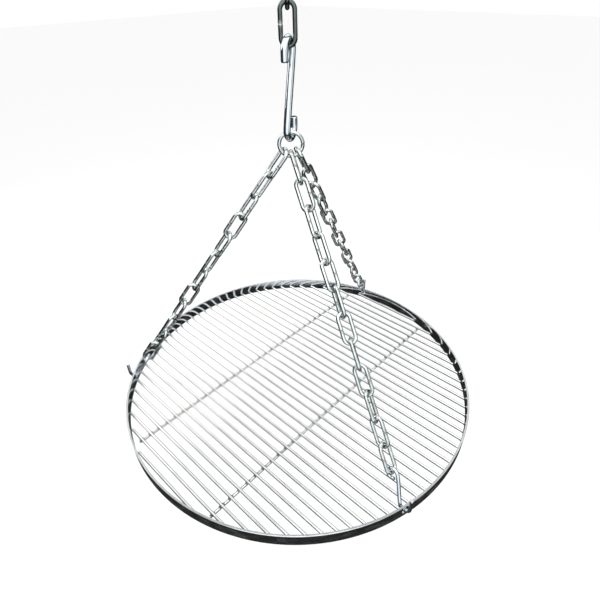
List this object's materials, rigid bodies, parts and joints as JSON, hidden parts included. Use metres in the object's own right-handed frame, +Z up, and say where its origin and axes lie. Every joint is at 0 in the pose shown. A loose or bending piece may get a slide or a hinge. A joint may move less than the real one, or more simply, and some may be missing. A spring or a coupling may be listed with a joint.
{
  "type": "hanging campfire grate",
  "caption": "Round welded steel cooking grate with a flat-strip rim, hung level on chains that hook through the rim and meet at a ring below an S-hook and suspension links.",
  "frame": {"origin": "inside of the upper bow of the top suspension link, where the suspension chain or a hook carries the grate", "axes": "+Z up; +X along the cooking rods; +Y along the two cross rods"},
  "size_m": [0.55, 0.5506, 0.5721],
  "materials": {
    "rim_steel": "polished flat steel strip, finely scratched along its length",
    "rod_steel": "bright drawn steel rod with small weld marks at the crossings",
    "chain_steel": "bright zinc-plated welded chain, a little uneven",
    "suspension_steel": "darkened older chain with bright weld seams",
    "hook_steel": "bright bent wire, bluish zinc plating, sawn ends"
  },
  "bodies": {
    "suspension_link_top": {"suspension_link_top": "suspension_steel"},
    "suspension_link_lower": {"suspension_link_lower": "suspension_steel"},
    "s_hook": {"s_hook": "hook_steel"},
    "ring": {"ring": "chain_steel"},
    "grate": {"rim": "rim_steel", "rod_grid": "rod_steel", "end_rod_front": "rod_steel", "end_rod_back": "rod_steel", "left_rim_hook": "hook_steel", "front_rim_hook": "hook_steel", "back_rim_hook": "hook_steel"},
    "left_link_01": {"left_link_01": "chain_steel"},
    "left_link_02": {"left_link_02": "chain_steel"},
    "left_link_03": {"left_link_03": "chain_steel"},
    "left_link_04": {"left_link_04": "chain_steel"},
    "left_link_05": {"left_link_05": "chain_steel"},
    "left_link_06": {"left_link_06": "chain_steel"},
    "left_link_07": {"left_link_07": "chain_steel"},
    "left_link_08": {"left_link_08": "chain_steel"},
    "left_link_09": {"left_link_09": "chain_steel"},
    "left_link_10": {"left_link_10": "chain_steel"},
    "left_link_11": {"left_link_11": "chain_steel"},
    "left_link_12": {"left_link_12": "chain_steel"},
    "front_link_01": {"front_link_01": "chain_steel"},
    "front_link_02": {"front_link_02": "chain_steel"},
    "front_link_03": {"front_link_03": "chain_steel"},
    "front_link_04": {"front_link_04": "chain_steel"},
    "front_link_05": {"front_link_05": "chain_steel"},
    "front_link_06": {"front_link_06": "chain_steel"},
    "front_link_07": {"front_link_07": "chain_steel"},
    "front_link_08": {"front_link_08": "chain_steel"},
    "front_link_09": {"front_link_09": "chain_steel"},
    "front_link_10": {"front_link_10": "chain_steel"},
    "front_link_11": {"front_link_11": "chain_steel"},
    "front_link_12": {"front_link_12": "chain_steel"},
    "back_link_01": {"back_link_01": "chain_steel"},
    "back_link_02": {"back_link_02": "chain_steel"},
    "back_link_03": {"back_link_03": "chain_steel"},
    "back_link_04": {"back_link_04": "chain_steel"},
    "back_link_05": {"back_link_05": "chain_steel"},
    "back_link_06": {"back_link_06": "chain_steel"},
    "back_link_07": {"back_link_07": "chain_steel"},
    "back_link_08": {"back_link_08": "chain_steel"},
    "back_link_09": {"back_link_09": "chain_steel"},
    "back_link_10": {"back_link_10": "chain_steel"},
    "back_link_11": {"back_link_11": "chain_steel"},
    "back_link_12": {"back_link_12": "chain_steel"}
  },
  "joints": [
    {"name": "lower_link_swing", "type": "hinge", "parent": "suspension_link_top", "child": "suspension_link_lower", "pos_m": [0, 0, -0.0371], "axis": [0.7071, -0.7071, 0], "range_deg": [-20, 20]},
    {"name": "s_hook_swing", "type": "hinge", "parent": "suspension_link_lower", "child": "s_hook", "pos_m": [0, 0, -0.076], "axis": [0.9135, 0.4067, 0], "range_deg": [-20, 20]},
    {"name": "ring_swing", "type": "hinge", "parent": "s_hook", "child": "ring", "pos_m": [0, 0, -0.1655], "axis": [0.4067, -0.9135, 0], "range_deg": [-20, 20]},
    {"name": "sling_swing", "type": "hinge", "parent": "ring", "child": "grate", "pos_m": [0, 0, -0.18695], "axis": [0.7071, 0.7071, 0], "range_deg": [-4, 4]},
    {"name": "left_link_01_turn", "type": "hinge", "parent": "grate", "child": "left_link_01", "pos_m": [-0.01262, -0.01208, -0.19573], "axis": [-0.4283, -0.3913, -0.8146], "range_deg": [-3, 3]},
    {"name": "left_link_02_turn", "type": "hinge", "parent": "grate", "child": "left_link_02", "pos_m": [-0.02718, -0.02538, -0.22343], "axis": [-0.4283, -0.3913, -0.8146], "range_deg": [-6, 6]},
    {"name": "left_link_03_turn", "type": "hinge", "parent": "grate", "child": "left_link_03", "pos_m": [-0.04174, -0.03868, -0.25112], "axis": [-0.4283, -0.3913, -0.8146], "range_deg": [-9, 9]},
    {"name": "left_link_04_turn", "type": "hinge", "parent": "grate", "child": "left_link_04", "pos_m": [-0.0563, -0.05199, -0.27881], "axis": [-0.4283, -0.3913, -0.8146], "range_deg": [-12, 12]},
    {"name": "left_link_05_turn", "type": "hinge", "parent": "grate", "child": "left_link_05", "pos_m": [-0.07087, -0.06529, -0.30651], "axis": [-0.4283, -0.3913, -0.8146], "range_deg": [-15, 15]},
    {"name": "left_chain_twist", "type": "hinge", "parent": "grate", "child": "left_link_06", "pos_m": [-0.08543, -0.07859, -0.3342], "axis": [-0.4283, -0.3913, -0.8146], "range_deg": [-18, 18]},
    {"name": "left_link_07_turn", "type": "hinge", "parent": "grate", "child": "left_link_07", "pos_m": [-0.09999, -0.0919, -0.3619], "axis": [-0.4283, -0.3913, -0.8146], "range_deg": [-18, 18]},
    {"name": "left_link_08_turn", "type": "hinge", "parent": "grate", "child": "left_link_08", "pos_m": [-0.11455, -0.1052, -0.38959], "axis": [-0.4283, -0.3913, -0.8146], "range_deg": [-15, 15]},
    {"name": "left_link_09_turn", "type": "hinge", "parent": "grate", "child": "left_link_09", "pos_m": [-0.12911, -0.1185, -0.41729], "axis": [-0.4283, -0.3913, -0.8146], "range_deg": [-12, 12]},
    {"name": "left_link_10_turn", "type": "hinge", "parent": "grate", "child": "left_link_10", "pos_m": [-0.14367, -0.13181, -0.44498], "axis": [-0.4283, -0.3913, -0.8146], "range_deg": [-9, 9]},
    {"name": "left_link_11_turn", "type": "hinge", "parent": "grate", "child": "left_link_11", "pos_m": [-0.15823, -0.14511, -0.47268], "axis": [-0.4283, -0.3913, -0.8146], "range_deg": [-6, 6]},
    {"name": "left_link_12_turn", "type": "hinge", "parent": "grate", "child": "left_link_12", "pos_m": [-0.17279, -0.15841, -0.50037], "axis": [-0.4283, -0.3913, -0.8146], "range_deg": [-3, 3]},
    {"name": "front_link_01_turn", "type": "hinge", "parent": "grate", "child": "front_link_01", "pos_m": [0.00926, -0.00163, -0.19864], "axis": [0.5669, -0.1816, -0.8035], "range_deg": [-3, 3]},
    {"name": "front_link_02_turn", "type": "hinge", "parent": "grate", "child": "front_link_02", "pos_m": [0.02853, -0.00781, -0.22596], "axis": [0.5669, -0.1816, -0.8035], "range_deg": [-6, 6]},
    {"name": "front_link_03_turn", "type": "hinge", "parent": "grate", "child": "front_link_03", "pos_m": [0.04781, -0.01398, -0.25328], "axis": [0.5669, -0.1816, -0.8035], "range_deg": [-9, 9]},
    {"name": "front_link_04_turn", "type": "hinge", "parent": "grate", "child": "front_link_04", "pos_m": [0.06708, -0.02016, -0.2806], "axis": [0.5669, -0.1816, -0.8035], "range_deg": [-12, 12]},
    {"name": "front_link_05_turn", "type": "hinge", "parent": "grate", "child": "front_link_05", "pos_m": [0.08636, -0.02633, -0.30792], "axis": [0.5669, -0.1816, -0.8035], "range_deg": [-15, 15]},
    {"name": "front_chain_twist", "type": "hinge", "parent": "grate", "child": "front_link_06", "pos_m": [0.10563, -0.03251, -0.33524], "axis": [0.5669, -0.1816, -0.8035], "range_deg": [-18, 18]},
    {"name": "front_link_07_turn", "type": "hinge", "parent": "grate", "child": "front_link_07", "pos_m": [0.1249, -0.03869, -0.36256], "axis": [0.5669, -0.1816, -0.8035], "range_deg": [-18, 18]},
    {"name": "front_link_08_turn", "type": "hinge", "parent": "grate", "child": "front_link_08", "pos_m": [0.14418, -0.04486, -0.38988], "axis": [0.5669, -0.1816, -0.8035], "range_deg": [-15, 15]},
    {"name": "front_link_09_turn", "type": "hinge", "parent": "grate", "child": "front_link_09", "pos_m": [0.16345, -0.05104, -0.4172], "axis": [0.5669, -0.1816, -0.8035], "range_deg": [-12, 12]},
    {"name": "front_link_10_turn", "type": "hinge", "parent": "grate", "child": "front_link_10", "pos_m": [0.18272, -0.05721, -0.44452], "axis": [0.5669, -0.1816, -0.8035], "range_deg": [-9, 9]},
    {"name": "front_link_11_turn", "type": "hinge", "parent": "grate", "child": "front_link_11", "pos_m": [0.202, -0.06339, -0.47184], "axis": [0.5669, -0.1816, -0.8035], "range_deg": [-6, 6]},
    {"name": "front_link_12_turn", "type": "hinge", "parent": "grate", "child": "front_link_12", "pos_m": [0.22127, -0.06956, -0.49916], "axis": [0.5669, -0.1816, -0.8035], "range_deg": [-3, 3]},
    {"name": "back_link_01_turn", "type": "hinge", "parent": "grate", "child": "back_link_01", "pos_m": [0.00446, 0.01457, -0.1953], "axis": [-0.1433, 0.5683, -0.8103], "range_deg": [-3, 3]},
    {"name": "back_link_02_turn", "type": "hinge", "parent": "grate", "child": "back_link_02", "pos_m": [-0.00041, 0.0339, -0.22285], "axis": [-0.1433, 0.5683, -0.8103], "range_deg": [-6, 6]},
    {"name": "back_link_03_turn", "type": "hinge", "parent": "grate", "child": "back_link_03", "pos_m": [-0.00528, 0.05322, -0.25039], "axis": [-0.1433, 0.5683, -0.8103], "range_deg": [-9, 9]},
    {"name": "back_link_04_turn", "type": "hinge", "parent": "grate", "child": "back_link_04", "pos_m": [-0.01016, 0.07254, -0.27794], "axis": [-0.1433, 0.5683, -0.8103], "range_deg": [-12, 12]},
    {"name": "back_link_05_turn", "type": "hinge", "parent": "grate", "child": "back_link_05", "pos_m": [-0.01503, 0.09186, -0.30549], "axis": [-0.1433, 0.5683, -0.8103], "range_deg": [-15, 15]},
    {"name": "back_chain_twist", "type": "hinge", "parent": "grate", "child": "back_link_06", "pos_m": [-0.0199, 0.11118, -0.33304], "axis": [-0.1433, 0.5683, -0.8103], "range_deg": [-18, 18]},
    {"name": "back_link_07_turn", "type": "hinge", "parent": "grate", "child": "back_link_07", "pos_m": [-0.02477, 0.1305, -0.36059], "axis": [-0.1433, 0.5683, -0.8103], "range_deg": [-18, 18]},
    {"name": "back_link_08_turn", "type": "hinge", "parent": "grate", "child": "back_link_08", "pos_m": [-0.02964, 0.14982, -0.38814], "axis": [-0.1433, 0.5683, -0.8103], "range_deg": [-15, 15]},
    {"name": "back_link_09_turn", "type": "hinge", "parent": "grate", "child": "back_link_09", "pos_m": [-0.03452, 0.16914, -0.41569], "axis": [-0.1433, 0.5683, -0.8103], "range_deg": [-12, 12]},
    {"name": "back_link_10_turn", "type": "hinge", "parent": "grate", "child": "back_link_10", "pos_m": [-0.03939, 0.18846, -0.44324], "axis": [-0.1433, 0.5683, -0.8103], "range_deg": [-9, 9]},
    {"name": "back_link_11_turn", "type": "hinge", "parent": "grate", "child": "back_link_11", "pos_m": [-0.04426, 0.20778, -0.47079], "axis": [-0.1433, 0.5683, -0.8103], "range_deg": [-6, 6]},
    {"name": "back_link_12_turn", "type": "hinge", "parent": "grate", "child": "back_link_12", "pos_m": [-0.04913, 0.2271, -0.49834], "axis": [-0.1433, 0.5683, -0.8103], "range_deg": [-3, 3]}
  ],
  "couplings": [
    {"joint": "left_link_01_turn", "follows": "left_chain_twist", "ratio": 0.16667},
    {"joint": "left_link_02_turn", "follows": "left_chain_twist", "ratio": 0.33333},
    {"joint": "left_link_03_turn", "follows": "left_chain_twist", "ratio": 0.5},
    {"joint": "left_link_04_turn", "follows": "left_chain_twist", "ratio": 0.66667},
    {"joint": "left_link_05_turn", "follows": "left_chain_twist", "ratio": 0.83333},
    {"joint": "left_link_07_turn", "follows": "left_chain_twist", "ratio": 1},
    {"joint": "left_link_08_turn", "follows": "left_chain_twist", "ratio": 0.83333},
    {"joint": "left_link_09_turn", "follows": "left_chain_twist", "ratio": 0.66667},
    {"joint": "left_link_10_turn", "follows": "left_chain_twist", "ratio": 0.5},
    {"joint": "left_link_11_turn", "follows": "left_chain_twist", "ratio": 0.33333},
    {"joint": "left_link_12_turn", "follows": "left_chain_twist", "ratio": 0.16667},
    {"joint": "front_link_01_turn", "follows": "front_chain_twist", "ratio": 0.16667},
    {"joint": "front_link_02_turn", "follows": "front_chain_twist", "ratio": 0.33333},
    {"joint": "front_link_03_turn", "follows": "front_chain_twist", "ratio": 0.5},
    {"joint": "front_link_04_turn", "follows": "front_chain_twist", "ratio": 0.66667},
    {"joint": "front_link_05_turn", "follows": "front_chain_twist", "ratio": 0.83333},
    {"joint": "front_link_07_turn", "follows": "front_chain_twist", "ratio": 1},
    {"joint": "front_link_08_turn", "follows": "front_chain_twist", "ratio": 0.83333},
    {"joint": "front_link_09_turn", "follows": "front_chain_twist", "ratio": 0.66667},
    {"joint": "front_link_10_turn", "follows": "front_chain_twist", "ratio": 0.5},
    {"joint": "front_link_11_turn", "follows": "front_chain_twist", "ratio": 0.33333},
    {"joint": "front_link_12_turn", "follows": "front_chain_twist", "ratio": 0.16667},
    {"joint": "back_link_01_turn", "follows": "back_chain_twist", "ratio": 0.16667},
    {"joint": "back_link_02_turn", "follows": "back_chain_twist", "ratio": 0.33333},
    {"joint": "back_link_03_turn", "follows": "back_chain_twist", "ratio": 0.5},
    {"joint": "back_link_04_turn", "follows": "back_chain_twist", "ratio": 0.66667},
    {"joint": "back_link_05_turn", "follows": "back_chain_twist", "ratio": 0.83333},
    {"joint": "back_link_07_turn", "follows": "back_chain_twist", "ratio": 1},
    {"joint": "back_link_08_turn", "follows": "back_chain_twist", "ratio": 0.83333},
    {"joint": "back_link_09_turn", "follows": "back_chain_twist", "ratio": 0.66667},
    {"joint": "back_link_10_turn", "follows": "back_chain_twist", "ratio": 0.5},
    {"joint": "back_link_11_turn", "follows": "back_chain_twist", "ratio": 0.33333},
    {"joint": "back_link_12_turn", "follows": "back_chain_twist", "ratio": 0.16667}
  ]
}
